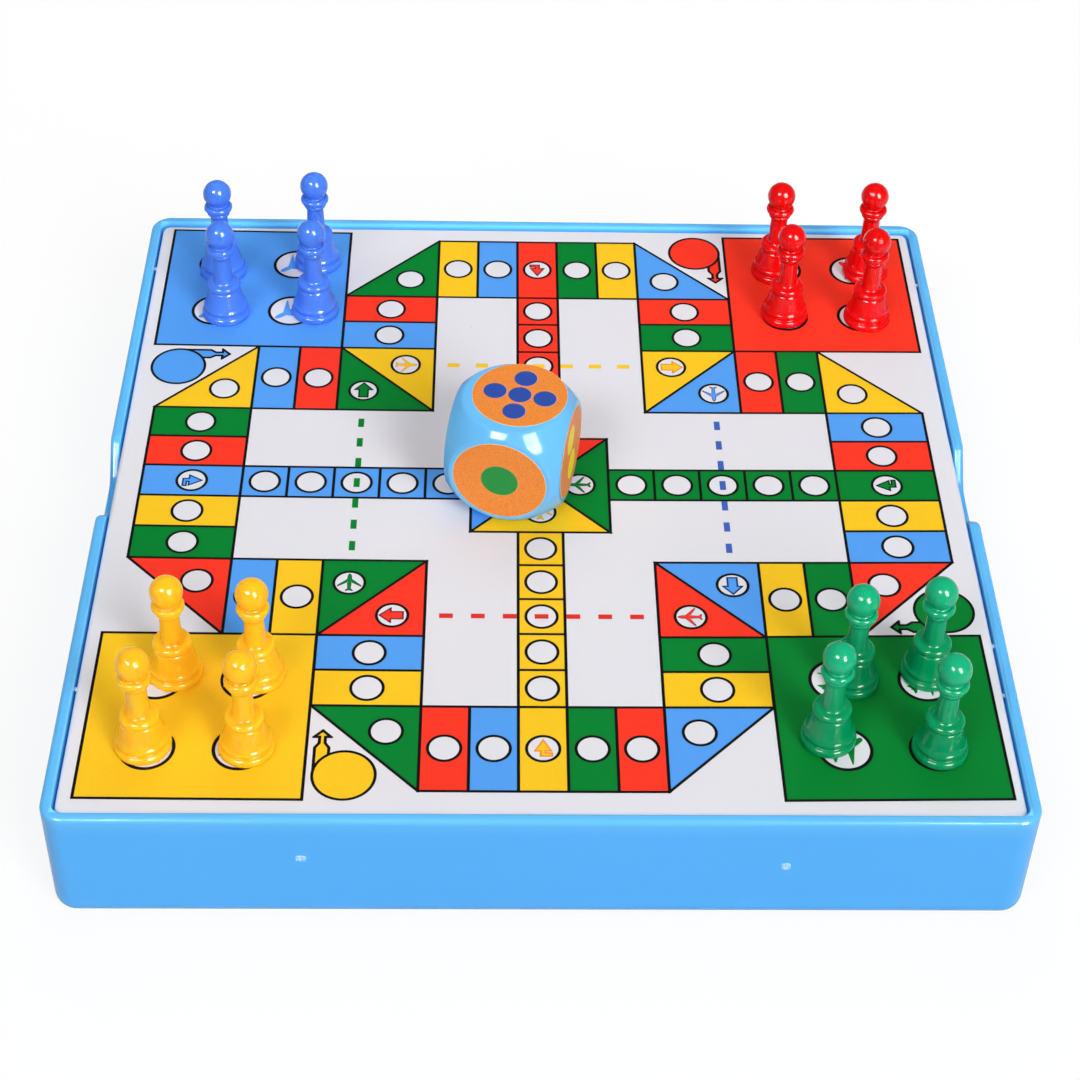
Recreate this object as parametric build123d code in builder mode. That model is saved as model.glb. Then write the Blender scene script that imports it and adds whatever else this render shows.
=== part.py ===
"""Ludo board box: a moulded tray, a lift-out board plate that closes it, sixteen pawns and a large die.

Millimetres, +Z up.  The origin is the middle of the tray's flat underside.
X runs across the board and Y runs from the player's edge to the far edge.
"""
import os
from math import radians, sqrt, tan

from build123d import *

# Tray
tray_width = 206.0          # square, measured at the rim
tray_height = 32.0
tray_corner = 5.0           # upright corners
tray_wall = 2.4
tray_floor = 2.0
tray_draft = 0.2            # degrees, the walls lean in towards the floor
foot_radius = 4.6           # rolled edge round the underside
rim_outer_radius = 1.1
rim_inner_radius = 0.6

# Finger notches, one in each side wall
notch_length = 27.0         # at the rim
notch_depth = 7.5
notch_slope = 43.0          # degrees, ends above the horizontal
notch_shoulder_radius = 3.5
notch_root_radius = 4.5

# Wall ribs that the plate's skirt stands on
rib_thickness = 1.6
rib_pitch = 30.0
rib_rows = 6
rib_ledge = 1.2             # reach past the inside of the skirt

# Board plate
print_margin = 6.0          # from the rim's outside in to the printed square
plate_gap = 0.5             # to the tray's wall, all round
plate_drop = 1.1            # from the rim down to the print
plate_thickness = 2.0
plate_edge_radius = 1.0
skirt_depth = 5.0           # from the print down
skirt_wall = 1.5
stiffener_height = 1.5
stiffener_thickness = 1.2
stiffener_pitch = 50.0
stiffener_rows = 3

# Pawn: heights are measured from the board, widths are diameters
pawn_height = 28.5
head_width = 7.1
neck_width = 4.6            # where the head sits on the upper collar
upper_collar_width = 7.1
upper_collar_top = 21.3     # of its upright edge
upper_collar_bottom = 20.4
collar_ring_width = 5.6     # below the upper collar
collar_ring_top = 19.6
collar_ring_bottom = 18.9
shaft_top_width = 4.2
shaft_top_height = 18.3
shaft_foot_width = 4.7
shaft_foot_height = 11.1
lower_collar_width = 8.4
lower_collar_height = 9.6   # middle of its upright edge
lower_collar_thickness = 2.0
lower_collar_bevel = 0.7
bell_top_width = 7.7
bell_waist_width = 8.9
bell_waist_height = 5.9
bell_width = 11.0
bell_shoulder_height = 3.9
bell_height = 2.5           # where the foot ring starts
foot_width = 12.0
foot_ring_height = 1.7
foot_bevel = 0.5
socket_mouth_width = 8.4    # moulded hollow under the foot
socket_end_width = 4.4
socket_depth = 6.5

# Where the pawns stand: beside the four printed circles of each corner base
circle_share = 0.1005       # spacing of the circles, as a share of the printed square
base_share = 0.2572         # from the board's middle to a base's inner sides, as a share
base_sides = {"blue": (-1, 1), "red": (1, 1), "yellow": (-1, -1), "green": (1, -1)}
pawn_nudges = {             # from each circle: far left, far right, near left, near right
    "blue": [(1.0, -2.7), (5.9, 1.3), (3.3, -0.7), (6.5, 0.3)],
    "red": [(-1.1, -0.8), (3.6, -0.5), (0.0, 0.7), (1.8, -0.5)],
    "yellow": [(3.9, 2.3), (2.3, 1.7), (-0.6, 1.2), (1.6, 0.7)],
    "green": [(3.6, 1.1), (1.0, 3.4), (-3.2, 4.0), (0.7, 0.9)],
}

# Die: a cube trimmed by a ball, which leaves its six flats round
die_size = 27.4             # across flats
die_ball_width = 36.4
sticker_width = 22.0
sticker_thickness = 0.3
sticker_seat = 0.2          # depth of the recess in each flat
sticker_play = 0.15         # round the sticker's edge
die_place = (-6.4, -1.1)
die_turn = -13.7            # degrees about Z

# What follows from the values above
print_z = tray_height - plate_drop
pocket_width = tray_width - 2 * tray_wall
pocket_corner = tray_corner - tray_wall
plate_width = pocket_width - 2 * plate_gap
plate_corner = pocket_corner - plate_gap
rib_top = print_z - skirt_depth
rib_reach = plate_gap + skirt_wall + rib_ledge
print_width = tray_width - 2 * print_margin
base_middle = (base_share + 0.5) / 2 * print_width
circle_spacing = circle_share * print_width


def save(piece, name):
    piece.part.label = name
    export_step(piece.part, f"parts/{name}.step")


def stands_up(edge):
    return edge.bounding_box().size.Z > tray_height / 2


def faces_up(face):
    return face.normal_at().Z > 0.3


def faces_out(face):
    return abs(face.normal_at().Z) < 0.1 and face.normal_at().dot(face.center()) > 0


def faces_in(face):
    return abs(face.normal_at().Z) < 0.1 and face.normal_at().dot(face.center()) < 0


def rim_edges(part, beside):
    """The edges between the rim, notches included, and the wall faces that beside picks."""
    rim = part.faces().filter_by(faces_up).filter_by(lambda face: face.center().Z > tray_height / 2)
    return rim.edges() & part.faces().filter_by(beside).edges()


os.makedirs("parts", exist_ok=True)

# Tray: a drafted square box hollowed from the rim
with BuildPart() as tray:
    with BuildSketch(Plane.XY.offset(tray_height)):
        Rectangle(tray_width, tray_width)
    extrude(amount=-tray_height, taper=tray_draft)
    fillet(tray.edges().filter_by(stands_up), tray_corner)
    fillet(tray.edges().group_by(Axis.Z)[0], foot_radius)
    outside = tray.edges()
    with BuildSketch(Plane.XY.offset(tray_height)):
        Rectangle(pocket_width, pocket_width)
    extrude(amount=tray_floor - tray_height, taper=tray_draft, mode=Mode.SUBTRACT)
    fillet(tray.edges().filter_by(stands_up) - outside, tray_corner - tray_wall)
    floor = tray.faces().filter_by(Plane.XY).group_by(Axis.Z)[1]
    fillet(floor.edges(), foot_radius - tray_wall)

    # finger notches: one profile cut through both side walls
    with BuildSketch(Plane.YZ) as notch:
        notch_run = notch_depth / tan(radians(notch_slope))
        notch_root = notch_length / 2 - notch_run
        clear = tray_height + notch_depth
        with BuildLine():
            Polyline(
                (-notch_length, clear),
                (-notch_length, tray_height),
                (-notch_length / 2, tray_height),
                (-notch_root, tray_height - notch_depth),
                (notch_root, tray_height - notch_depth),
                (notch_length / 2, tray_height),
                (notch_length, tray_height),
                (notch_length, clear),
                close=True,
            )
        make_face()
        fillet(notch.vertices().group_by(Axis.Y)[0], notch_root_radius)
        fillet(notch.vertices().group_by(Axis.Y)[-2].sort_by(Axis.X)[1:-1], notch_shoulder_radius)
    extrude(amount=tray_width, both=True, mode=Mode.SUBTRACT)
    fillet(rim_edges(tray, faces_out), rim_outer_radius)
    fillet(rim_edges(tray, faces_in), rim_inner_radius)

    # ribs on all four walls, which end under the plate's skirt
    rib_row = pocket_width - rib_reach
    with BuildSketch(Plane.XY.offset(tray_floor)):
        with GridLocations(rib_pitch, rib_row, rib_rows, 2):
            Rectangle(rib_thickness, rib_reach)
        with GridLocations(rib_row, rib_pitch, 2, rib_rows):
            Rectangle(rib_reach, rib_thickness)
    extrude(amount=rib_top - tray_floor)
save(tray, "tray")

# Board plate: a flat top with a skirt round it, stiffened underneath
with BuildPart() as board_plate:
    with BuildSketch(Plane.XY.offset(print_z)):
        RectangleRounded(plate_width, plate_width, plate_corner)
    extrude(amount=-skirt_depth)
    fillet(board_plate.edges().group_by(Axis.Z)[-1], plate_edge_radius)
    underside = Plane.XY.offset(print_z - plate_thickness)
    inner_width = plate_width - 2 * skirt_wall
    with BuildSketch(underside):
        Rectangle(inner_width, inner_width)
    extrude(amount=plate_thickness - skirt_depth, mode=Mode.SUBTRACT)
    with BuildSketch(underside):
        with GridLocations(stiffener_pitch, 0, stiffener_rows, 1):
            Rectangle(stiffener_thickness, inner_width)
        with GridLocations(0, stiffener_pitch, 1, stiffener_rows):
            Rectangle(inner_width, stiffener_thickness)
    extrude(amount=-stiffener_height)
save(board_plate, "board_plate")


def make_pawn(x, y):
    """A turned pawn: ball head, two collars on a shaft, a bell body and a foot ring, hollow below."""
    head_radius = head_width / 2
    head_middle = pawn_height - head_radius
    neck_height = head_middle - sqrt(head_radius**2 - (neck_width / 2) ** 2)
    collar_top = lower_collar_height + lower_collar_thickness / 2
    collar_bottom = lower_collar_height - lower_collar_thickness / 2
    below_head = [               # width, height
        (neck_width, neck_height),
        (upper_collar_width, upper_collar_top),
        (upper_collar_width, upper_collar_bottom),
        (collar_ring_width, collar_ring_top),
        (collar_ring_width, collar_ring_bottom),
        (shaft_top_width, shaft_top_height),
        (shaft_foot_width, shaft_foot_height),
        (lower_collar_width - 2 * lower_collar_bevel, collar_top),
        (lower_collar_width, collar_top - lower_collar_bevel),
        (lower_collar_width, collar_bottom + lower_collar_bevel),
        (bell_top_width, collar_bottom),
        (bell_waist_width, bell_waist_height),
        (bell_width, bell_shoulder_height),
        (bell_width, bell_height),
        (foot_width, foot_ring_height),
        (foot_width, foot_bevel),
        (foot_width - 2 * foot_bevel, 0),
        (socket_mouth_width, 0),
        (socket_end_width, socket_depth),
        (0, socket_depth),
    ]
    with BuildPart() as pawn:
        with BuildSketch(Plane(origin=(x, y, print_z), x_dir=(1, 0, 0), z_dir=(0, -1, 0))):
            with BuildLine():
                ThreePointArc((0, pawn_height), (head_radius, head_middle), (neck_width / 2, neck_height))
                Polyline(*[(width / 2, height) for width, height in below_head], (0, pawn_height))
            make_face()
        revolve(axis=Axis((x, y, print_z), (0, 0, 1)))
    return pawn


for colour, (side_x, side_y) in base_sides.items():
    middle = Vector(side_x * base_middle, side_y * base_middle)
    circles = [middle + Vector(dx, dy) * circle_spacing / 2 for dy in (1, -1) for dx in (-1, 1)]
    for number, (circle, nudge) in enumerate(zip(circles, pawn_nudges[colour]), start=1):
        stand = circle + Vector(*nudge)
        save(make_pawn(stand.X, stand.Y), f"pawn_{colour}_{number}")

# Die: it stands on the sticker underneath, a little proud of the flat
sticker_proud = sticker_thickness - sticker_seat
die_middle = print_z + sticker_proud + die_size / 2
die_plane = Plane(origin=(*die_place, die_middle)).rotated((0, 0, die_turn))
with BuildPart(die_plane) as die_body:
    Box(die_size, die_size, die_size)
    Sphere(die_ball_width / 2, mode=Mode.INTERSECT)
    flats = [Plane(face) for face in die_body.faces().filter_by(GeomType.PLANE)]
    for flat in flats:
        with BuildSketch(flat):
            Circle(sticker_width / 2 + sticker_play)
        extrude(amount=-sticker_seat, mode=Mode.SUBTRACT)
save(die_body, "die_body")

sticker_values = {          # the way each value faces, seen from the die
    "five": (0, 0, 1),
    "three": (0, 0, -1),
    "one": (0, -1, 0),
    "six": (0, 1, 0),
    "two": (1, 0, 0),
    "four": (-1, 0, 0),
}
for value, way in sticker_values.items():
    facing = Vector(*way).rotate(Axis.Z, die_turn)
    flat = max(flats, key=lambda plane: plane.z_dir.dot(facing))
    with BuildPart() as sticker:
        with BuildSketch(flat.offset(-sticker_seat)):
            Circle(sticker_width / 2)
        extrude(amount=sticker_thickness)
    save(sticker, f"die_sticker_{value}")
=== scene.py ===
import math
import random

import bmesh
import bpy
from mathutils import Matrix, Vector, geometry


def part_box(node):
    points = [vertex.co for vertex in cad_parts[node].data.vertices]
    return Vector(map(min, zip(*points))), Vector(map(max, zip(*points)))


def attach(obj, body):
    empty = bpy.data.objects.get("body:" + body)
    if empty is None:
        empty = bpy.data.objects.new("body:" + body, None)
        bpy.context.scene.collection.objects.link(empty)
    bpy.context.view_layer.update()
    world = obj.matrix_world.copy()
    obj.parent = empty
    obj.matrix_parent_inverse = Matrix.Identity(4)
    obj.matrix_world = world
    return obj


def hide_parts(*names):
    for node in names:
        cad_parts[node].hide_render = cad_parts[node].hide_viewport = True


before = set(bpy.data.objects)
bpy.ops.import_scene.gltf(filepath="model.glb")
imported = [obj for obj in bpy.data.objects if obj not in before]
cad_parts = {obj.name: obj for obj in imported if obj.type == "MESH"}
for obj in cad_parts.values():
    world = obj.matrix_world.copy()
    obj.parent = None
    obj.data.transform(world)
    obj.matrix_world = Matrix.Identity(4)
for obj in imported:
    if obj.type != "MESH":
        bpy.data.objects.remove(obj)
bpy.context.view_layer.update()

mm = 0.001
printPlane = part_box("board_plate")[1].z  # top of the board plate, where pawns and die stand
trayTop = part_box("tray")[1].z
print("frame loaded,", len(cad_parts), "solids")


noiseSpan = (0.3, 0.7)  # most of a noise lies between these


def linear(r, g, b):
    # screen colour 0-255 to the linear colour that shaders take
    def one(v):
        v /= 255
        return v / 12.92 if v <= 0.04045 else ((v + 0.055) / 1.055) ** 2.4
    return (one(r), one(g), one(b), 1.0)


def shade(colour, factor):
    return (colour[0] * factor, colour[1] * factor, colour[2] * factor, 1.0)


def startMaterial(name):
    material = bpy.data.materials.new(name)
    material.use_nodes = True
    tree = material.node_tree
    return material, tree.nodes, tree.links, tree.nodes["Principled BSDF"]


def addNoise(nodes, links, where, scale, detail=2.0, rough=0.5):
    node = nodes.new("ShaderNodeTexNoise")
    node.inputs["Scale"].default_value = scale
    node.inputs["Detail"].default_value = detail
    node.inputs["Roughness"].default_value = rough
    links.new(where, node.inputs["Vector"])
    return node.outputs["Fac"]


def addRange(nodes, links, value, low, high, toLow, toHigh):
    node = nodes.new("ShaderNodeMapRange")
    links.new(value, node.inputs["Value"])
    for socket, number in (("From Min", low), ("From Max", high), ("To Min", toLow), ("To Max", toHigh)):
        node.inputs[socket].default_value = number
    return node.outputs["Result"]


def addMix(nodes, links, factor, first, second):
    # colour mix; first and second are sockets or plain colours
    node = nodes.new("ShaderNodeMix")
    node.data_type = "RGBA"
    links.new(factor, node.inputs[0])
    for socket, value in ((node.inputs[6], first), (node.inputs[7], second)):
        if isinstance(value, tuple):
            socket.default_value = value
        else:
            links.new(value, socket)
    return node.outputs[2]


def addMath(nodes, links, operation, *values):
    # values are sockets or plain numbers
    node = nodes.new("ShaderNodeMath")
    node.operation = operation
    for socket, value in zip(node.inputs, values):
        if isinstance(value, float):
            socket.default_value = value
        else:
            links.new(value, socket)
    return node.outputs[0]


def mixShaders(nodes, links, factor, first, second):
    node = nodes.new("ShaderNodeMixShader")
    for socket, value in zip(node.inputs, (factor, first, second)):
        links.new(value, socket)
    return node.outputs[0]


def addSpecks(nodes, links, where, scale, size, share):
    # 1 on small round specks: one cell of the pattern in 1/share holds one
    full, step = 0.6, 0.001  # share of a speck at full strength, and how sharply cells are picked
    cells = nodes.new("ShaderNodeTexVoronoi")
    cells.inputs["Scale"].default_value = scale
    links.new(where, cells.inputs["Vector"])
    near = addRange(nodes, links, cells.outputs["Distance"], size * full, size, 1.0, 0.0)
    split = nodes.new("ShaderNodeSeparateColor")
    links.new(cells.outputs["Color"], split.inputs[0])
    chosen = addRange(nodes, links, split.outputs[0], share, share + step, 1.0, 0.0)
    return addMath(nodes, links, "MULTIPLY", near, chosen)


def addBump(nodes, links, shader, height, distance):
    bump = nodes.new("ShaderNodeBump")
    bump.inputs["Distance"].default_value = distance
    links.new(height, bump.inputs["Height"])
    links.new(bump.outputs["Normal"], shader.inputs["Normal"])


def mouldedPlastic(name, look):
    # glossy injection-moulded plastic: soft flow marks, a fine orange peel and a few specks
    material, nodes, links, shader = startMaterial(name)
    where = nodes.new("ShaderNodeTexCoord").outputs["Object"]
    flow = addNoise(nodes, links, where, look["flowScale"], 3.0)
    tone = addRange(nodes, links, flow, *noiseSpan, 0.0, 1.0)
    darker, lighter = (shade(look["colour"], 1 + way * look["flowTone"]) for way in (-1, 1))
    body = addMix(nodes, links, tone, darker, lighter)
    if look.get("paintedLightTipColour"):  # painted light: the top is painted lighter than the body, for the light that falls on it from above
        split = nodes.new("ShaderNodeSeparateXYZ")
        links.new(where, split.inputs[0])
        low, high = look["paintedLightTipHeights"]
        paintedTipLight = addRange(nodes, links, split.outputs["Z"], low * mm, high * mm, 0.0, 1.0)
        body = addMix(nodes, links, paintedTipLight, body, look["paintedLightTipColour"])
    specks = addSpecks(nodes, links, where, look["speckScale"], look["speckSize"], look["speckShare"])
    links.new(addMix(nodes, links, specks, body, look["speckColour"]), shader.inputs["Base Color"])
    smear = addNoise(nodes, links, where, look["smearScale"], 4.0, 0.6)
    links.new(addRange(nodes, links, smear, *noiseSpan, *look["gloss"]), shader.inputs["Roughness"])
    peel = addNoise(nodes, links, where, look["peelScale"], 2.0)
    addBump(nodes, links, shader, peel, look["peelDepth"] * mm)
    shader.inputs["IOR"].default_value = look["ior"]
    if look.get("glow"):
        shader.inputs["Subsurface Weight"].default_value = look["glow"]
        shader.inputs["Subsurface Radius"].default_value = look["glowRadius"]
        shader.inputs["Subsurface Scale"].default_value = mm
    # painted glow: the body gives off its own colour as light, though it is no lamp
    if look.get("lit"):
        links.new(body, shader.inputs["Emission Color"])
        shader.inputs["Emission Strength"].default_value = look["lit"]
    return material


def faceOutwards(mesh):
    tidy = bmesh.new()
    tidy.from_mesh(mesh)
    bmesh.ops.recalc_face_normals(tidy, faces=tidy.faces)
    tidy.to_mesh(mesh)
    tidy.free()


def makePiece(name, points, faces, body, materials, smooth=True, faceMaterials=None, closed=True):
    # a mesh of its own, points in mm, that rides on a body and takes the given materials
    mesh = bpy.data.meshes.new(name)
    mesh.from_pydata([Vector(p) * mm for p in points], [], faces)
    for material in materials:
        mesh.materials.append(material)
    if faceMaterials:
        mesh.polygons.foreach_set("material_index", faceMaterials)
    mesh.polygons.foreach_set("use_smooth", [smooth] * len(mesh.polygons))
    mesh.update()
    if closed:
        faceOutwards(mesh)
    piece = bpy.data.objects.new(name, mesh)
    bpy.context.scene.collection.objects.link(piece)
    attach(piece, body)
    return piece


def sharpen(piece, degrees):
    # edges sharper than this angle stay crisp
    mesh = piece.data
    tidy = bmesh.new()
    tidy.from_mesh(mesh)
    for edge in tidy.edges:
        edge.smooth = len(edge.link_faces) < 2 or edge.calc_face_angle(0) < math.radians(degrees)
    tidy.to_mesh(mesh)
    tidy.free()


def fanFaces(middle, first, n):
    # triangles from one point to a ring of n points
    return [(middle, first + i, first + (i + 1) % n) for i in range(n)]


def ringFaces(first, rings, n):
    # quads between rings of n points each, that follow each other from point first
    faces = []
    for start in range(first, first + (rings - 1) * n, n):
        for i in range(n):
            a, b = start + i, start + (i + 1) % n
            faces.append((a, a + n, b + n, b))
    return faces


def arc(middle, radius, start, end, steps):
    # points of a turned profile on an arc, (distance from the axis, height), angles in degrees
    turn = [math.radians(start + (end - start) * i / steps) for i in range(steps + 1)]
    return [(middle[0] + radius * math.cos(a), middle[1] + radius * math.sin(a)) for a in turn]


def bend(p0, p1, p2, p3, steps):
    # points on a smooth run from p0 to p3
    found = []
    for i in range(steps + 1):
        t = i / steps
        w = ((1 - t) ** 3, 3 * t * (1 - t) ** 2, 3 * t * t * (1 - t), t ** 3)
        found.append(tuple(sum(k * p[j] for k, p in zip(w, (p0, p1, p2, p3))) for j in (0, 1)))
    return found


# Tray: the solid itself, in glossy sky-blue plastic
trayLook = {
    "colour": linear(82, 178, 251), "flowTone": 0.015, "flowScale": 14,
    "speckScale": 90, "speckSize": 0.018, "speckShare": 0.16, "speckColour": linear(60, 120, 190),
    "smearScale": 60, "gloss": (0.16, 0.26), "peelScale": 900, "peelDepth": 0.004, "ior": 1.34,
}
trayPlastic = mouldedPlastic("trayPlastic", trayLook)
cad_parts["tray"].data.materials[0] = trayPlastic


def paintedRimAndGapLight(material, look):
    # painted light: the rim is painted paler towards its top as a painted highlight band, and a painted glow lights
    # the gap round the plate and the band above it
    nodes, links = material.node_tree.nodes, material.node_tree.links
    shader = nodes["Principled BSDF"]
    body = shader.inputs["Base Color"].links[0].from_socket
    split = nodes.new("ShaderNodeSeparateXYZ")
    links.new(nodes.new("ShaderNodeTexCoord").outputs["Object"], split.inputs[0])
    low, high = (trayTop - depth * mm for depth in look["rimDepths"])
    # painted highlight: the rim is painted paler towards its top
    rim = addRange(nodes, links, split.outputs["Z"], low, high, 0.0, look["rimPaintedLight"])
    links.new(addMix(nodes, links, rim, body, look["rimHighlightColour"]), shader.inputs["Base Color"])
    sides = [addMath(nodes, links, "ABSOLUTE", split.outputs[axis]) for axis in ("X", "Y")]
    far = addMath(nodes, links, "MAXIMUM", *sides)
    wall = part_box("tray")[1].x - look["wall"] * mm
    low, high = (trayTop - depth * mm for depth in look["band"])
    upper = addRange(nodes, links, split.outputs["Z"], low, high, 0.0, 1.0)
    near, beyond = look["fade"]
    inside = addRange(nodes, links, far, wall - near * mm, wall + beyond * mm, 1.0, 0.0)
    glowStrength = addRange(nodes, links, upper, 0.0, 1.0, *look["through"])
    # painted glow: emission lights the wall's inside in the gap and in the band above the plate
    links.new(addMath(nodes, links, "MULTIPLY", inside, glowStrength), shader.inputs["Emission Strength"])
    links.new(addMix(nodes, links, upper, look["throughColour"], look["bandGlowColour"]), shader.inputs["Emission Color"])


wallLook = {
    "rimDepths": (4.6, 0.3), "rimPaintedLight": 0.5, "rimHighlightColour": linear(112, 200, 252),  # depths below the rim of the painted paler band
    "wall": 2.4, "fade": (0.1, 0.3),  # wall thickness, and how softly its inside ends
    "through": (0.1, 0.4), "throughColour": linear(30, 130, 225),  # painted glow strength down in the gap, and in the band above the plate
    "band": (1.5, 0.9), "bandGlowColour": linear(121, 221, 252),  # depths below the rim
}
paintedRimAndGapLight(trayPlastic, wallLook)

# Two gate scars on the front wall, where the runner was clipped off
scarLook = {
    "places": ((-50.0, 20.1, 2.3, 1.9), (50.6, 17.9, 2.1, 2.2)),  # x, z, width, height in mm
    "lift": 0.16, "middleLift": 0.5, "spokes": 22, "square": 0.6, "seed": 5, "colour": linear(205, 232, 252),
    "tornScale": 1500, "tornSpan": (0.35, 0.65), "tornDepth": 0.06, "gloss": (0.45, 0.7),
    "rings": ((0.35, 0.8), (0.7, 1.0), (0.9, 0.6), (1.0, -0.2)),  # share of the width, share of the lift
    "ragged": (0.08, 0.35),  # how uneven the outline and the top are
}


def scarPlastic(name, look):
    material, nodes, links, shader = startMaterial(name)
    where = nodes.new("ShaderNodeTexCoord").outputs["Object"]
    torn = addNoise(nodes, links, where, look["tornScale"], 4.0, 0.7)
    pale = addRange(nodes, links, torn, *look["tornSpan"], 0.0, 1.0)
    links.new(addMix(nodes, links, pale, trayLook["colour"], look["colour"]), shader.inputs["Base Color"])
    links.new(addRange(nodes, links, torn, *noiseSpan, *look["gloss"]), shader.inputs["Roughness"])
    addBump(nodes, links, shader, torn, look["tornDepth"] * mm)
    return material


def wallAt(x, z):
    # the front wall's outside at that place, and the way it faces
    _, point, normal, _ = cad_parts["tray"].ray_cast(Vector((x, -200, z)) * mm, Vector((0, 1, 0)))
    return point / mm, normal


scarMaterial = scarPlastic("gateScar", scarLook)
random.seed(scarLook["seed"])
for number, (x, z, width, height) in enumerate(scarLook["places"], start=1):
    base, outward = wallAt(x, z)
    across, up = Vector((1, 0, 0)), outward.cross(Vector((1, 0, 0)))
    points, n = [base + outward * scarLook["lift"] * scarLook["middleLift"]], scarLook["spokes"]
    side, top = scarLook["ragged"]
    for share, lift in scarLook["rings"]:
        for spoke in range(n):
            a = 2 * math.pi * spoke / n
            square = 1 / max(abs(math.cos(a)), abs(math.sin(a))) ** scarLook["square"]
            ragged = share * square * (1 + random.uniform(-side, side) * share)
            rise = scarLook["lift"] * (lift + random.uniform(-top, top) * (lift > 0))
            sideways = across * (ragged * width / 2 * math.cos(a)) + up * (ragged * height / 2 * math.sin(a))
            points.append(base + sideways + outward * rise)
    faces = fanFaces(0, 1, n) + ringFaces(1, len(scarLook["rings"]), n)
    makePiece(f"gate_scar_{number}", points, faces, "tray", [scarMaterial], closed=False)
print("tray done")

# Board plate: the solid itself, in satin white plastic
plateLook = {
    "colour": linear(224, 223, 229), "flowTone": 0.012, "flowScale": 18,
    "speckScale": 110, "speckSize": 0.02, "speckShare": 0.12, "speckColour": linear(170, 168, 172),
    "smearScale": 45, "gloss": (0.3, 0.42), "peelScale": 1400, "peelDepth": 0.003, "ior": 1.23,
}
platePlastic = mouldedPlastic("platePlastic", plateLook)
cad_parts["board_plate"].data.materials[0] = platePlastic

# Nubs left on the plate's sides by its gates
nubLook = {
    "places": ((-1, -65.7), (-1, 82.1), (1, -66.1), (1, -51.5), (1, 78.5)),  # side, and y in mm
    "reach": 0.5, "width": 1.2, "drop": 0.45, "thick": 0.7, "steps": 8,
    "rings": ((-0.4, 1.0), (0.55, 0.95), (0.9, 0.75), (1.0, 0.4)),  # share of the reach, share of the width
}


def plateNub(side, y):
    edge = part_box("board_plate")[1].x / mm * side
    top = printPlane / mm - nubLook["drop"]
    points, steps, count = [], nubLook["steps"], len(nubLook["rings"])
    for reach, grow in nubLook["rings"]:
        for i in range(steps):
            a = 2 * math.pi * i / steps
            wide, tall = (grow * nubLook[k] / 2 for k in ("width", "thick"))
            points.append((
                edge + side * nubLook["reach"] * reach,
                y + side * wide * math.cos(a),
                top - nubLook["thick"] / 2 + tall * math.sin(a),
            ))
    ends = [tuple(reversed(range(steps))), tuple(range((count - 1) * steps, count * steps))]
    return points, ringFaces(0, count, steps) + ends


for number, (side, y) in enumerate(nubLook["places"], start=1):
    points, faces = plateNub(side, y)
    makePiece(f"plate_nub_{number}", points, faces, "board", [platePlastic])

# The printed game: one flat film of ink on the plate, in mm from the middle of the track
gameLook = {
    "cell": 10.48, "cellLength": 23.73, "homeCell": 10.906, "line": 0.68,
    "ring": (3.87, 3.2), "baseRing": (6.0, 5.22), "startRing": (6.95, 6.3),  # black edge, white inside
    "ringSteps": 40, "baseSteps": 56, "startSteps": 64,
    "blockRingPlace": (7.28, 6.35), "cornerRingPlace": 7.25, "middleRingPlace": 9.5,
    "baseCorners": (  # base by base, from the track outwards
        ((49.81, 49.53), (97.3, 49.89), (97.42, 97.63), (50.06, 97.38)),
        ((49.79, -49.82), (97.5, -49.03), (97.86, -95.55), (50.12, -96.17)),
        ((-49.63, -49.88), (-96.68, -49.56), (-96.76, -96.1), (-49.76, -96.38)),
        ((-49.63, 49.49), (-96.66, 50.14), (-96.76, 98.28), (-49.7, 97.71)),
    ),
    "baseMiddle": 73.465, "baseSpread": 9.75,
    "circleShift": ((0.3, 0.35), (0.2, 1.0), (0.2, 0.5), (0.3, 0.45)),  # as printed, base by base
    "startPlace": (41.65, 90.4), "startShift": ((0.38, -0.05), (0.15, -0.15), (-0.15, -0.1), (-0.05, 0)),
    "dashPlace": 43.6, "dashStep": 7.14, "dashCount": 7, "dash": (3.1, 1.45),
    "lift": 0.02, "edge": 0.21, "thinEdge": 0.4,  # the line round arrows, and the share of it round aeroplanes
    "laneShift": 5.0, "bigPlaneHeading": 128,
    "drawX": (0.02, -0.51, 0.35, 0.26), "drawY": (-0.71, -0.36, 0.81, 1.07),  # how far the print runs off true
}
trackColours = ("yellow", "blue", "red", "green")  # round the track, clockwise
armColours = ("red", "green", "yellow", "blue")    # far, right, near and left arm
inkColours = {
    "black": linear(20, 18, 20), "blue": linear(84, 158, 240), "red": linear(252, 56, 36),
    "yellow": linear(248, 198, 34), "green": linear(2, 128, 48),
    "deepBlue": linear(62, 98, 186), "deepRed": linear(220, 48, 38),  # of the dashes
    "blueEdge": linear(12, 60, 126), "redEdge": linear(128, 34, 52),
    "yellowEdge": linear(244, 150, 44), "greenEdge": linear(4, 40, 26),
}
planeShape = [  # half of a plain aeroplane flying up the page
    (0, 2.92), (0.32, 2.5), (0.45, 1.65), (0.45, 1.18), (2.68, -0.82), (2.64, -1.12), (0.45, 0.2),
    (0.3, -1.82), (0.82, -2.34), (0.78, -2.55), (0, -2.3),
]
bigPlaneShape = [
    (0, 4.95), (0.42, 4.75), (0.62, 4.3), (0.74, 3.2), (0.76, 2.05), (4.12, -1.45), (4.04, -1.75), (0.74, -0.1),
    (0.46, -2.5), (1.42, -3.8), (1.36, -4.25), (0.3, -3.85), (0, -4.15),
]
arrowShape = [(0, 2.85), (2.2, 0.35), (1.1, 0.35), (1.1, -2.42), (-1.1, -2.42), (-1.1, 0.35), (-2.2, 0.35)]
bentShape = [
    (0, -2.42), (1.74, 0.62), (0.54, 0.62), (0.54, 2.06), (-1.9, 2.06), (-1.9, 1.2), (-0.46, 1.2), (-0.46, 0.62),
    (-1.74, 0.62),
]
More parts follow.
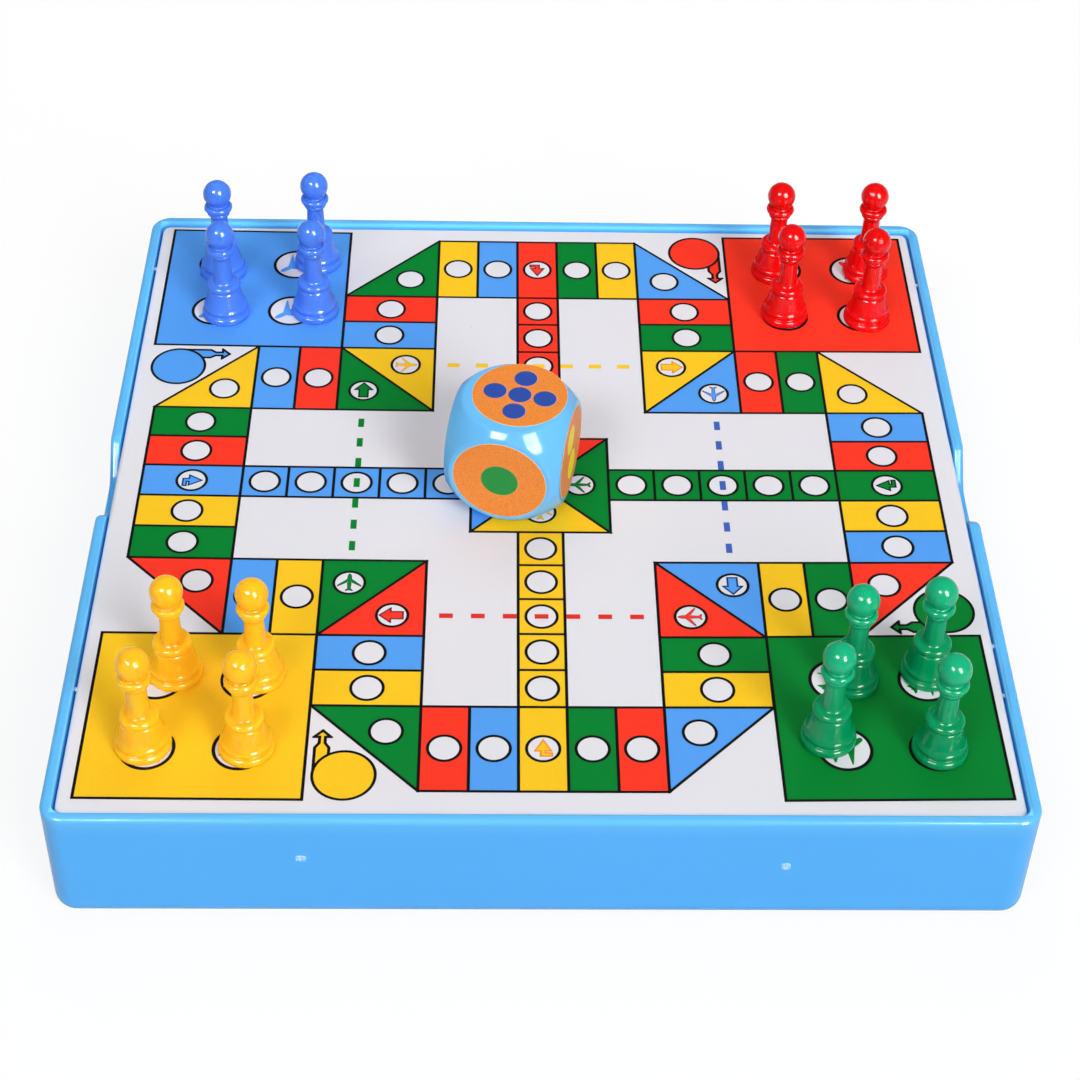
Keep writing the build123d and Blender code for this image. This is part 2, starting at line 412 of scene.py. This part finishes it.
startArrowShape = [
    (0, -12.4), (1.8, -10.6), (0.62, -10.6), (0.62, -8.9), (1.5, -7.6), (1.5, 0), (-1.5, 0), (-1.5, -7.6),
    (-0.62, -8.9), (-0.62, -10.6), (-1.8, -10.6),
]


def mirrored(half):
    return half + [(-x, y) for x, y in reversed(half) if x > 0]


def placed(shape, place, heading):
    # a shape drawn pointing up the page, turned to its heading in degrees and put in its place
    a = math.radians(heading - 90)
    c, s = math.cos(a), math.sin(a)
    return [(place[0] + x * c - y * s, place[1] + x * s + y * c) for x, y in shape]


def ringOutline(place, radius, steps):
    turn = [2 * math.pi * i / steps for i in range(steps)]
    return [(place[0] + radius * math.cos(a), place[1] + radius * math.sin(a)) for a in turn]


def facing(outline):
    # the same outline, running counter-clockwise
    area = sum(a[0] * b[1] - b[0] * a[1] for a, b in zip(outline, outline[1:] + outline[:1]))
    return outline if area > 0 else outline[::-1]


def grown(outline, amount):
    # the outline moved outwards by amount, or inwards where amount is below 0
    outline = facing(outline)
    moved = []
    for before, here, after in zip(outline[-1:] + outline[:-1], outline, outline[1:] + outline[:1]):
        first = (Vector(here) - Vector(before)).normalized()
        second = (Vector(after) - Vector(here)).normalized()
        n1, n2 = Vector((first.y, -first.x)), Vector((second.y, -second.x))
        if amount > 0 and n1.dot(n2) < -0.1:  # a sharp corner is squared off
            moved += [tuple(Vector(here) + way * amount) for way in (n1 + first, n2 - second)]
        else:
            moved.append(tuple(Vector(here) + (n1 + n2) * (amount / (1 + n1.dot(n2)))))
    return moved


def turned(outline, quarters):
    # quarter turns clockwise
    for _ in range(quarters):
        outline = [(y, -x) for x, y in outline]
    return outline


def rectangle(x0, y0, x1, y1):
    return [(x0, y0), (x1, y0), (x1, y1), (x0, y1)]


def asPrinted(outline, look):
    # the sheet was drawn a little off true, most in its middle
    moved = []
    for x, y in outline:
        u, v = x / 100, y / 100
        dx = sum(k * u ** i for i, k in enumerate(look["drawX"]))
        dy = look["drawY"][0] + look["drawY"][1] * v + look["drawY"][2] * u * u + look["drawY"][3] * v * v
        moved.append((x + dx, y + dy))
    return moved


def gameShapes(look):
    # (ink, outline) in painting order; ink None is bare plate
    c, long, h, half = look["cell"], look["cellLength"], look["homeCell"], look["line"] / 2
    inner, b = 2.5 * c, 2.5 * c + long
    top = b + 2 * c
    corner, (blockX, blockY) = look["cornerRingPlace"], look["blockRingPlace"]
    under, over, signs, bases = [], [], [], []

    def cell(ink, outline, quarters, ring=None):
        outline = turned(outline, quarters)
        under.append(("black", grown(outline, half)))
        over.append((ink, grown(outline, -half)))
        if ring:
            circle(turned([ring], quarters)[0], look["ring"], look["ringSteps"])

    def circle(place, radii, steps, fill=None):
        signs.append(("black", ringOutline(place, radii[0], steps)))
        signs.append((fill, ringOutline(place, radii[1], steps)))

    def sign(ink, outline, quarters, edge=0):
        outline = turned(outline, quarters)
        if edge:
            signs.append((ink + "Edge", grown(outline, edge)))
        signs.append((ink, grown(outline, -edge)))

    for arm, home in enumerate(armColours):
        # thirteen cells of the track, left to right, each with the place of its ring
        cells = [([(-b, b), (-inner, inner), (-inner, b)], (-inner - blockX, b - blockY))]
        for k in (0, 1):
            cells.append((rectangle(-b, b + k * c, -inner, b + (k + 1) * c), ((-b - inner) / 2, b + (k + 0.5) * c)))
        cells.append(([(-b, top), (-inner, top), (-inner, top + long)], (-inner - corner, top + corner)))
        for k in (-2, -1, 0, 1, 2):
            cells.append((rectangle(k * c - c / 2, top, k * c + c / 2, top + long), (k * c, top + long / 2)))
        cells.append(([(inner, top), (b, top), (inner, top + long)], (inner + corner, top + corner)))
        for k in (1, 0):
            cells.append((rectangle(inner, b + k * c, b, b + (k + 1) * c), ((b + inner) / 2, b + (k + 0.5) * c)))
        cells.append(([(inner, b), (inner, inner), (b, b)], (inner + blockX, b - blockY)))
        for step, (outline, ring) in enumerate(cells):
            ink = trackColours[(step + arm * 13) % 4]
            cell(ink, outline, arm, ring)
            if step == 0:
                sign(ink, placed(mirrored(planeShape), ring, 0), arm, look["edge"] * look["thinEdge"])
            if step == 6:
                sign(home, [(x + ring[0], y + ring[1]) for x, y in bentShape], arm, look["edge"])
            if step == 12:
                sign(ink, placed(arrowShape, ring, 0), arm, look["edge"])
        for k in range(5):
            cell(home, rectangle(-c / 2, (1.5 + k) * h, c / 2, (2.5 + k) * h), arm, (0, (2 + k) * h))
        cell(home, [(0, 0), (1.5 * h, 1.5 * h), (-1.5 * h, 1.5 * h)], arm, (0, look["middleRingPlace"]))
        plane = placed(mirrored(planeShape), (0, look["middleRingPlace"]), -90)
        sign(home, plane, arm, look["edge"] * look["thinEdge"])

        bridge = trackColours[arm * 13 % 4]  # dashed line across the arm
        bridge = {"blue": "deepBlue", "red": "deepRed"}.get(bridge, bridge)
        w, t = look["dash"][0] / 2, look["dash"][1] / 2
        for k in range(look["dashCount"]):
            x = (k - (look["dashCount"] - 1) / 2) * look["dashStep"]
            sign(bridge, rectangle(x - w, look["dashPlace"] - t, x + w, look["dashPlace"] + t), arm)

        shift = look["startShift"][arm]
        place = tuple(Vector(turned([look["startPlace"]], arm)[0]) + Vector(shift))
        startX, startY = look["startPlace"]
        lane = turned([(x + startX + look["laneShift"], y + startY) for x, y in startArrowShape], arm)
        lane = [(x + shift[0], y + shift[1]) for x, y in lane]
        signs += [("black", grown(lane, half)), (home, grown(lane, -half))]
        circle(place, look["startRing"], look["startSteps"], home)

        outline = list(look["baseCorners"][arm])
        bases += [("black", grown(outline, half)), (home, grown(outline, -half))]
        middle = look["baseMiddle"]
        for dx in (-1, 1):
            for dy in (-1, 1):
                spot = turned([(middle + dx * look["baseSpread"], middle + dy * look["baseSpread"])], arm)[0]
                spot = (spot[0] + look["circleShift"][arm][0], spot[1] + look["circleShift"][arm][1])
                for ink, radius in zip(("black", None), look["baseRing"]):
                    bases.append((ink, ringOutline(spot, radius, look["baseSteps"])))
                plane = placed(mirrored(bigPlaneShape), spot, look["bigPlaneHeading"] - 90 * arm)
                bases.append((home, facing(plane)))
    return [(ink, asPrinted(outline, look)) for ink, outline in under + over + signs] + bases


def inkFilm(name, shapes, height, body, materials, turn=None):
    # all outlines cut each other, and each piece of the plane takes the ink painted last
    points, loops = [], []
    for _, outline in shapes:
        outline = facing(outline)
        loops.append(list(range(len(points), len(points) + len(outline))))
        points += [Vector(p) for p in outline]
    found, _, faces, _, _, owners = geometry.delaunay_2d_cdt(points, [], loops, 1, 1e-4, True)
    inks, kept = sorted(materials), []
    for face, owner in zip(faces, owners):
        ink = shapes[max(owner)][0] if owner else None
        if ink:
            kept.append((face, inks.index(ink)))
    used = sorted({v for face, _ in kept for v in face})
    number = {v: i for i, v in enumerate(used)}
    solid = [(found[v].x, found[v].y, height) for v in used]
    if turn:
        solid = [turn @ Vector(p) for p in solid]
    faces, faceInks = [tuple(number[v] for v in face) for face, _ in kept], [i for _, i in kept]
    return makePiece(name, solid, faces, body, [materials[i] for i in inks], False, faceInks, False)


def printInk(name, colour, look):
    # satin ink with a fine screen grain and a few pinholes
    material, nodes, links, shader = startMaterial(name)
    where = nodes.new("ShaderNodeTexCoord").outputs["Object"]
    broad = addRange(nodes, links, addNoise(nodes, links, where, look["broadScale"], 3.0), *noiseSpan, 0.0, 1.0)
    body = addMix(nodes, links, broad, *(shade(colour, share) for share in look["broadShades"]))
    fine = addNoise(nodes, links, where, look["grainScale"], 2.0)
    grain = addRange(nodes, links, fine, *look["grainSpan"], 0.0, look["grain"])
    body = addMix(nodes, links, grain, body, shade(colour, look["grainShade"]))
    holes = addSpecks(nodes, links, where, look["holeScale"], look["holeSize"], look["holeShare"])
    links.new(addMix(nodes, links, holes, body, plateLook["colour"]), shader.inputs["Base Color"])
    smear = addNoise(nodes, links, where, look["smearScale"], 4.0, 0.6)
    links.new(addRange(nodes, links, smear, *noiseSpan, *look["gloss"]), shader.inputs["Roughness"])
    addBump(nodes, links, shader, addNoise(nodes, links, where, look["peelScale"], 2.0), look["peelDepth"] * mm)
    shader.inputs["IOR"].default_value = look["ior"]
    return material


inkLook = {
    "broadScale": 22, "broadShades": (0.975, 1.025), "holeScale": 70, "holeSize": 0.014, "holeShare": 0.09,
    "grain": 0.12, "grainScale": 2600, "grainSpan": (0.35, 0.65), "grainShade": 0.8,
    "smearScale": 45, "gloss": (0.3, 0.42), "peelScale": 1400, "peelDepth": 0.003, "ior": 1.17,
}
inks = {ink: printInk("ink" + ink[0].upper() + ink[1:], colour, inkLook) for ink, colour in inkColours.items()}
filmHeight = printPlane / mm + gameLook["lift"]
film = inkFilm("board_print", gameShapes(gameLook), filmHeight, "board", inks)
print("board printed,", len(film.data.polygons), "faces of ink")

# Pawns: turned shapes with a mould line, heights in mm above the board
pawnLook = {
    "socket": ((0, 6.5), (1.9, 6.5), (2.2, 6.25), (4.15, 0.35), (4.45, 0.03)),  # the hollow under the foot
    "footWidth": 12.0, "bellTop": (3.85, 8.5),
    "around": 60, "seamLift": 0.05, "seamWidth": 2.2, "seamRoom": 2.6, "backSeam": 0.4,  # seam width in degrees
    "flash": (  # height, lift and spread of the fuller spots of the seam
        (0.5, 0.3, 0.5), (2.7, 0.14, 0.4), (9.6, 0.12, 0.5), (19.2, 0.06, 0.3), (20.85, 0.12, 0.4),
    ),
    "height": 28.5,
}


def pawnProfile(look):
    foot = look["footWidth"] / 2
    line = list(look["socket"])
    line += [(foot - 0.75, 0.03)] + arc((foot - 0.7, 0.73), 0.7, -72, 0, 4) + arc((foot - 0.85, 1.2), 0.85, 12, 84, 5)
    line += [(5.14, 2.2)] + arc((4.84, 3.2), 0.68, -56, 50, 8)
    line += bend((5.28, 3.72), (4.84, 4.12), (4.5, 6.2), look["bellTop"], 10)[1:]
    line += arc((3.22, 9.6), 0.98, -78, 84, 10)
    line += arc((3.22, 11.42), 0.88, -92, -180, 6)[1:]
    line += [(2.28, 13.2), (2.19, 15.4), (2.12, 17.6)]
    line += arc((2.52, 18.05), 0.4, 180, 100, 3)[1:] + arc((2.22, 19.2), 0.6, -62, 62, 7)
    line += arc((2.62, 20.85), 0.93, -74, 84, 10)
    line += arc((2.75, 22.12), 0.38, -88, -160, 3) + arc((0, 24.95), 3.55, -48, 90, 20)[:-1]
    return line


def turnedPawn(name, look):
    # one mesh that each pawn of a colour shares: rings of points round the axis, with the seam at 0 and 180 degrees
    line = pawnProfile(look)
    side = [180 * i / (look["around"] / 2) for i in range(1, int(look["around"] / 2))]
    seam, room = look["seamWidth"], look["seamRoom"] * look["seamWidth"]
    half = [0, seam, 2 * seam] + [a for a in side if room < a < 180 - room] + [180 - 2 * seam, 180 - seam]
    angles = half + [180 + a for a in half]
    points = [(0, 0, line[0][1])]
    for reach, height in line[1:]:
        outside = height > 0.02 and reach > 0.3 and (reach, height) not in look["socket"]
        for a in angles:
            lift = 0.0
            if outside and a % 180 == 0:
                flash = sum(up * math.exp(-((height - z) / spread) ** 2) for z, up, spread in look["flash"])
                lift = look["seamLift"] + flash * (1 if a == 0 else look["backSeam"])
            far, turn = reach + lift, math.radians(a)
            points.append((far * math.cos(turn), far * math.sin(turn), height))
    points.append((0, 0, look["height"]))
    n, rings = len(angles), len(line) - 1
    faces = fanFaces(0, 1, n) + ringFaces(1, rings, n) + fanFaces(len(points) - 1, 1 + (rings - 1) * n, n)
    mesh = bpy.data.meshes.new(name)
    mesh.from_pydata([Vector(p) * mm for p in points], [], faces)
    mesh.polygons.foreach_set("use_smooth", [True] * len(mesh.polygons))
    mesh.update()
    faceOutwards(mesh)
    return mesh


pawnLooks = {  # colour, how far light goes in, and which way each pawn's seam faces in degrees
    "blue": {
        "colour": linear(78, 134, 246),
        "glow": 0.3, "glowRadius": (0.8, 1.2, 2.5), "seams": (-70, 130, 15, 60),
    },
    "red": {
        "colour": linear(235, 10, 14),
        "glow": 0.4, "glowRadius": (2.6, 0.4, 0.3), "seams": (25, -40, 75, 10),
    },
    "yellow": {  # passes the most light; a painted glow of its own colour evens out its shading, and its top is painted a shade lighter
        "colour": linear(252, 184, 32), "paintedLightTipColour": linear(252, 186, 34), "lit": 0.13, "ior": 1.33,
        "glow": 1.0, "glowRadius": (3.2, 3.0, 1.2), "seams": (-20, 50, 110, -65),
    },
    "green": {
        # green's tip colour is painted light: the head is painted lighter for the light from above
        "colour": linear(2, 146, 89), "paintedLightTipColour": linear(24, 180, 127),
        "glow": 0.3, "glowRadius": (0.4, 2.0, 1.2), "seams": (140, -30, 6, 42),
    },
}
pawnPlasticLook = {
    "flowTone": 0.03, "flowScale": 180, "paintedLightTipHeights": (8, 24),  # heights in mm over which the body's colour goes over to the painted lighter tip
    "speckScale": 300, "speckSize": 0.02, "speckShare": 0.05, "speckColour": linear(90, 60, 50),
    "smearScale": 300, "gloss": (0.1, 0.14), "peelScale": 500, "peelDepth": 0.0015, "ior": 1.41,
}
for colour, look in pawnLooks.items():
    mesh = turnedPawn("pawn_" + colour, pawnLook)
    mesh.materials.append(mouldedPlastic("pawn" + colour.capitalize(), {**pawnPlasticLook, **look}))
    for number, seam in enumerate(look["seams"], start=1):
        node = f"pawn_{colour}_{number}"
        low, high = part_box(node)
        pawn = bpy.data.objects.new(node + "_turned", mesh)
        bpy.context.scene.collection.objects.link(pawn)
        pawn.location = ((low.x + high.x) / 2, (low.y + high.y) / 2, low.z)
        pawn.rotation_euler = (0, 0, math.radians(seam - 90))
        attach(pawn, node)
        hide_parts(node)
print("sixteen pawns turned")

# Die: a cube cut down by a ball, with a paper sticker on each face, in mm from its middle
dieLook = {
    "size": 27.4, "ball": 36.4, "blend": 1.2, "around": 96, "pipSteps": 48, "turn": -13.7,
    "stickerWidth": 22.0, "stickerTop": 0.07, "paperEdge": 0.09, "roll": 0.03, "side": 0.2,
    "slip": {"five": (1.05, 1.2)},  # stuck on off the middle
    "corners": 8, "crease": 35,  # rings from the flat's round to the corners, and degrees that stay crisp
}
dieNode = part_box("die_body")
dieMiddle = (dieNode[0] + dieNode[1]) / 2 / mm


def dieProfile(look):
    # from the middle of a face out to the start of the ball: (distance from the face's axis, height)
    flat, ball, r = look["size"] / 2, look["ball"] / 2, look["blend"]
    middle = math.sqrt((ball - r) ** 2 - (flat - r) ** 2)  # of the round between flat and ball
    end = math.degrees(math.atan2(flat - r, middle))
    return arc((middle, flat - r), r, 90, end, 6)


def dieShell(look):
    ball, n, corners = look["ball"] / 2, look["around"], look["corners"]
    line = dieProfile(look)
    edge = line[-1][0] / line[-1][1]  # where the ball starts, on a plane one away
    points, faces = [], []
    for face in range(6):
        # three faces that follow each other, and the three behind them
        axis, flip = face % 3, 1 if face < 3 else -1
        basis = [Vector([float(i == (axis + k) % 3) for i in range(3)]) for k in range(3)]

        def put(x, y, z):
            points.append(flip * z * basis[0] + x * basis[1] + flip * y * basis[2])

        first = len(points)
        put(0, 0, line[0][1])
        for reach, height in line:
            for i in range(n):
                a = 2 * math.pi * i / n
                put(reach * math.cos(a), reach * math.sin(a), height)
        for step in range(1, corners + 1):
            for i in range(n):
                a = 2 * math.pi * i / n
                far = 1 / max(abs(math.cos(a)), abs(math.sin(a)))
                reach = edge + (far - edge) * step / corners
                way = Vector((reach * math.cos(a), reach * math.sin(a), 1)).normalized() * ball
                put(*way)
        faces += fanFaces(first, first + 1, n) + ringFaces(first + 1, len(line) + corners, n)
    return points, faces


dieTurn = Matrix.Rotation(math.radians(dieLook["turn"]), 3, "Z")
diePlasticLook = {
    "colour": linear(108, 192, 250), "flowTone": 0.02, "flowScale": 60,
    "speckScale": 250, "speckSize": 0.02, "speckShare": 0.05, "speckColour": linear(60, 120, 190),
    "smearScale": 120, "gloss": (0.06, 0.12), "peelScale": 500, "peelDepth": 0.004, "ior": 1.4,
    "glow": 0.1, "glowRadius": (0.6, 1.2, 2.0),
}
points, faces = dieShell(dieLook)
points = [dieMiddle + dieTurn @ Vector(p) for p in points]
shell = makePiece("die_shell", points, faces, "die", [mouldedPlastic("diePlastic", diePlasticLook)])
weld = bmesh.new()
weld.from_mesh(shell.data)
bmesh.ops.remove_doubles(weld, verts=weld.verts, dist=0.002 * mm)
bmesh.ops.recalc_face_normals(weld, faces=weld.faces)
weld.to_mesh(shell.data)
weld.free()
sharpen(shell, dieLook["crease"])
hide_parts("die_body")

stickerLook = {
    "colour": linear(239, 137, 46), "grainColour": linear(190, 96, 40), "paleColour": linear(252, 176, 92),
    "grainScale": 3400, "paleScale": 1.7, "darkSpan": (0.52, 0.62), "paleSpan": (0.56, 0.68),
    "grainShades": (0.8, 1.15), "strongGrain": 0.4, "strongShade": 0.85, "grainDepth": 0.006,
    "gloss": (0.38, 0.5), "ior": 1.36,
    "paper": linear(244, 200, 140), "fringe": (0.09, -0.03, 0.05),  # shift and spread of the first pass under each pip
}


def stickerPaper(name, look, colour, grain):
    # printed paper: a speckled screen over the colour, under a thin gloss
    material, nodes, links, shader = startMaterial(name)
    where = nodes.new("ShaderNodeTexCoord").outputs["Object"]
    fine = addNoise(nodes, links, where, look["grainScale"], 1.0)
    pale = addNoise(nodes, links, where, look["grainScale"] * look["paleScale"], 1.0)
    dark = addRange(nodes, links, fine, *look["darkSpan"], 0.0, grain)
    light = addRange(nodes, links, pale, *look["paleSpan"], 0.0, grain)
    darkColour, lightColour = (shade(colour, share) for share in look["grainShades"])
    if grain > look["strongGrain"]:
        darkColour = addMix(nodes, links, dark, shade(colour, look["strongShade"]), look["grainColour"])
        lightColour = look["paleColour"]
    body = addMix(nodes, links, dark, colour, darkColour)
    body = addMix(nodes, links, light, body, lightColour)
    links.new(body, shader.inputs["Base Color"])
    links.new(addRange(nodes, links, fine, *noiseSpan, *look["gloss"]), shader.inputs["Roughness"])
    addBump(nodes, links, shader, fine, look["grainDepth"] * mm)
    shader.inputs["IOR"].default_value = look["ior"]
    return material


stickerMaterials = {
    "orange": stickerPaper("stickerOrange", stickerLook, stickerLook["colour"], 0.6),
    "paper": stickerPaper("stickerEdge", stickerLook, stickerLook["paper"], 0.1),
    "pipBlue": stickerPaper("pipBlue", stickerLook, linear(36, 74, 166), 0.25),
    "pipGreen": stickerPaper("pipGreen", stickerLook, linear(14, 142, 56), 0.25),
    "pipYellow": stickerPaper("pipYellow", stickerLook, linear(252, 226, 18), 0.2),
    "pipRed": stickerPaper("pipRed", stickerLook, linear(214, 40, 40), 0.25),
    "fringeBlue": stickerPaper("fringeBlue", stickerLook, linear(196, 160, 190), 0.1),
    "fringeGreen": stickerPaper("fringeGreen", stickerLook, linear(206, 170, 60), 0.1),
}
pips = {  # ink, width and places of the pips, in mm across the face
    "one": ("pipGreen", 8.7, ((0.0, 0.0),)),
    "two": ("pipYellow", 7.2, ((-0.6, 4.2), (0.6, -4.2))),
    "three": ("pipRed", 5.6, ((-5.4, 5.4), (0, 0), (5.4, -5.4))),
    "four": ("pipGreen", 5.4, ((-4.6, 4.6), (4.6, 4.6), (-4.6, -4.6), (4.6, -4.6))),
    "five": ("pipBlue", 5.3, ((0, 0), (5.9, 0), (-5.9, 0), (0, 5.9), (0, -5.9))),
    "six": ("pipRed", 4.8, ((-3.9, 5.6), (-3.9, 0), (-3.9, -5.6), (3.9, 5.6), (3.9, 0), (3.9, -5.6))),
}


def faceTurn(node, slip=(0, 0)):
    # the way a sticker faces: from the die's middle to the sticker's own middle
    low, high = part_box(node)
    out = ((low + high) / 2 / mm - dieMiddle).normalized()
    up = Vector((0, 0, 1)) if abs(out.z) < 0.5 else dieTurn @ Vector((0, 1, 0))
    across = up.cross(out).normalized()
    turn = Matrix((across, out.cross(across), out)).transposed().to_4x4()
    return Matrix.Translation(dieMiddle + across * slip[0] + out.cross(across) * slip[1]) @ turn


for word, (ink, width, places) in pips.items():
    node, slip = "die_sticker_" + word, dieLook["slip"].get(word, (0, 0))
    radius = dieLook["stickerWidth"] / 2
    top = dieLook["size"] / 2 + dieLook["stickerTop"]
    fringe = "fringeBlue" if ink == "pipBlue" else "fringeGreen"
    shapes = [
        (part, ringOutline((0, 0), radius - dieLook[inset], dieLook["around"]))
        for part, inset in (("paper", "roll"), ("orange", "paperEdge"))
    ]
    shiftX, shiftY, spread = stickerLook["fringe"]
    for x, y in places:
        shapes.append((fringe, ringOutline((x + shiftX, y + shiftY), width / 2 + spread, dieLook["pipSteps"])))
    for x, y in places:
        shapes.append((ink, ringOutline((x, y), width / 2, dieLook["pipSteps"])))
    used = {k: stickerMaterials[k] for k in ("orange", "paper", fringe, ink)}
    sheet = inkFilm(node + "_paper", shapes, top, "die", used, faceTurn(node, slip))
    cut = bmesh.new()
    cut.from_mesh(sheet.data)
    rim = [e for e in cut.edges if e.is_boundary]
    below = -(faceTurn(node).to_3x3() @ Vector((0, 0, 1)))
    paper = sorted(used).index("paper")
    for drop in (dieLook["roll"], dieLook["side"]):  # the paper's rolled edge, then its side down into the seat
        grew = bmesh.ops.extrude_edge_only(cut, edges=rim)["geom"]
        fresh = [v for v in grew if isinstance(v, bmesh.types.BMVert)]
        for v in fresh:
            v.co += below * drop * mm
        if drop == dieLook["roll"]:
            centre = faceTurn(node, slip) @ Vector((0, 0, top)) * mm
            for v in fresh:
                out = v.co - centre
                out -= below * out.dot(below)
                v.co += out.normalized() * dieLook["roll"] * mm
        for f in grew:
            if isinstance(f, bmesh.types.BMFace):
                f.material_index = paper
        rim = [e for e in cut.edges if e.is_boundary]
    bmesh.ops.recalc_face_normals(cut, faces=cut.faces)
    cut.to_mesh(sheet.data)
    cut.free()
    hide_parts(node)
print("die done")

# Studio: a pale floor, two softboxes in front and soft light from all round
studioLook = {
    "floorSize": 3.0, "floorGap": 0.0002, "floorTone": linear(250, 250, 250), "bounceTone": linear(176, 176, 178),
    "floorRough": 0.9, "floorGlow": 0.84, "floorGloss": 0.45,
    "floorFade": (0.3, 0.9),  # fades to white between these, in metres
    "underGlow": 0.55, "underReach": 0.001,  # light for the undersides that rest on the floor
    "skyFill": (0.1, 0.37),  # at the horizon and overhead
    "skyWall": 0.2, "skyDark": 0.08, "skyHeights": (0.2, 0.6),  # what gloss sees low and high, and where it changes
}
bpy.ops.mesh.primitive_plane_add(size=studioLook["floorSize"], location=(0, 0, -studioLook["floorGap"]))
floor = bpy.context.object
floor.name = "floor"


def floorMaterial(look):
    # plain matt floor; what the camera and glossy surfaces see of it is nearly white, with the shadow kept
    material, nodes, links, shader = startMaterial("paleFloor")
    shader.inputs["Roughness"].default_value = look["floorRough"]
    shader.inputs["Specular IOR Level"].default_value = 0.0
    path = nodes.new("ShaderNodeLightPath").outputs
    gloss = addMath(nodes, links, "MULTIPLY", path["Is Glossy Ray"], look["floorGloss"])
    seen = addMath(nodes, links, "MAXIMUM", path["Is Camera Ray"], gloss)
    seen = addMath(nodes, links, "MAXIMUM", seen, path["Is Transmission Ray"])
    tone = addMix(nodes, links, seen, look["bounceTone"], look["floorTone"])
    links.new(tone, shader.inputs["Base Color"])
    spot = nodes.new("ShaderNodeVectorMath")
    spot.operation = "LENGTH"
    links.new(nodes.new("ShaderNodeTexCoord").outputs["Object"], spot.inputs[0])
    share = addRange(nodes, links, spot.outputs["Value"], *look["floorFade"], look["floorGlow"], 1.0)
    glow = addMath(nodes, links, "MULTIPLY", seen, share)
    close = addMath(nodes, links, "LESS_THAN", path["Ray Length"], look["underReach"])
    under = addMath(nodes, links, "MULTIPLY", close, look["underGlow"])
    lit = addMath(nodes, links, "MAXIMUM", glow, under)
    white = nodes.new("ShaderNodeEmission").outputs[0]
    above = mixShaders(nodes, links, lit, shader.outputs[0], white)
    clear = nodes.new("ShaderNodeBsdfTransparent").outputs[0]  # when looked at from below
    behind = nodes.new("ShaderNodeNewGeometry").outputs["Backfacing"]
    oneWay = mixShaders(nodes, links, behind, above, clear)
    links.new(oneWay, nodes["Material Output"].inputs["Surface"])
    return material


floor.data.materials.append(floorMaterial(studioLook))


def studioSky(look):
    world = bpy.data.worlds.new("studio")
    bpy.context.scene.world = world
    world.use_nodes = True
    nodes, links = world.node_tree.nodes, world.node_tree.links
    nodes.clear()
    path = nodes.new("ShaderNodeLightPath").outputs
    sides = nodes.new("ShaderNodeSeparateXYZ")
    links.new(nodes.new("ShaderNodeTexCoord").outputs["Generated"], sides.inputs[0])
    # glossy surfaces see white walls and a dim ceiling
    walls = addRange(nodes, links, sides.outputs["Z"], *look["skyHeights"], look["skyWall"], look["skyDark"])
    seen = addMath(nodes, links, "MAXIMUM", path["Is Glossy Ray"], path["Is Transmission Ray"])
    strength = nodes.new("ShaderNodeMix")
    strength.data_type = "FLOAT"
    links.new(addRange(nodes, links, sides.outputs["Z"], 0.0, 1.0, *look["skyFill"]), strength.inputs[2])
    links.new(seen, strength.inputs[0])
    links.new(walls, strength.inputs[3])
    lamp, background = nodes.new("ShaderNodeBackground"), nodes.new("ShaderNodeBackground")
    links.new(strength.outputs[0], lamp.inputs["Strength"])
    sky = mixShaders(nodes, links, path["Is Camera Ray"], lamp.outputs[0], background.outputs[0])
    links.new(sky, nodes.new("ShaderNodeOutputWorld").inputs["Surface"])


studioSky(studioLook)
softboxes = {  # direction from the board in degrees (0 is the near side, right is positive), size in metres
    "softboxRight": {"side": 33.5, "height": 34, "away": 5.0, "size": (1.73, 2.85), "radiance": 12.0, "gleam": 56.0},
    "softboxLeft": {"side": -34, "height": 46, "away": 5.0, "size": (1.92, 1.19), "radiance": 10.4, "gleam": 70.0},
}
# the lamp at the back evens out the far half, and gloss doesn't see it
backBox = {"side": 180, "height": 62, "away": 0.9, "size": (0.7, 0.7), "radiance": 1.6}
lamps = [(name, box, box["radiance"]) for name, box in softboxes.items()]
lamps.append(("softboxBack", backBox, backBox["radiance"]))
lamps += [(name + "Gleam", box, box["gleam"]) for name, box in softboxes.items()]  # only glossy surfaces see these
for name, box, radiance in lamps:
    side, height = math.radians(box["side"]), math.radians(box["height"])
    way = Vector((math.sin(side) * math.cos(height), -math.cos(side) * math.cos(height), math.sin(height)))
    light = bpy.data.lights.new(name, "AREA")
    light.shape = "RECTANGLE"
    light.size, light.size_y = box["size"]
    light.energy = radiance * math.pi * box["size"][0] * box["size"][1]
    lamp = bpy.data.objects.new(name, light)
    lamp.location = way * box["away"] + Vector((0, 0, printPlane))
    lamp.rotation_euler = (-way).to_track_quat("-Z", "Y").to_euler()
    lamp.visible_camera = False
    lamp.visible_diffuse = not name.endswith("Gleam")
    lamp.visible_glossy = name != "softboxBack"
    bpy.context.scene.collection.objects.link(lamp)

# Camera
cameraLook = {
    "place": (-0.0107, -0.4066, 0.4077), "lens": 77.83, "shift": (-0.0248, -0.1296),
    "right": (0.99949, -0.01721, 0.0268), "down": (0.00904, -0.65352, -0.75686),
    "forward": (0.03054, 0.75672, -0.65303),
}
cameraData = bpy.data.cameras.new("camera")
cameraData.lens, cameraData.sensor_width = cameraLook["lens"], 36
cameraData.shift_x, cameraData.shift_y = cameraLook["shift"]
cameraData.clip_start, cameraData.clip_end = 0.01, 20
camera = bpy.data.objects.new("camera", cameraData)
bpy.context.scene.collection.objects.link(camera)
right, down, forward = (Vector(cameraLook[k]) for k in ("right", "down", "forward"))
turn = Matrix((right, -down, -forward)).transposed().to_4x4()
camera.matrix_world = Matrix.Translation(cameraLook["place"]) @ turn
bpy.context.scene.camera = camera
bpy.context.scene.view_settings.view_transform = "Standard"
print("studio lit")
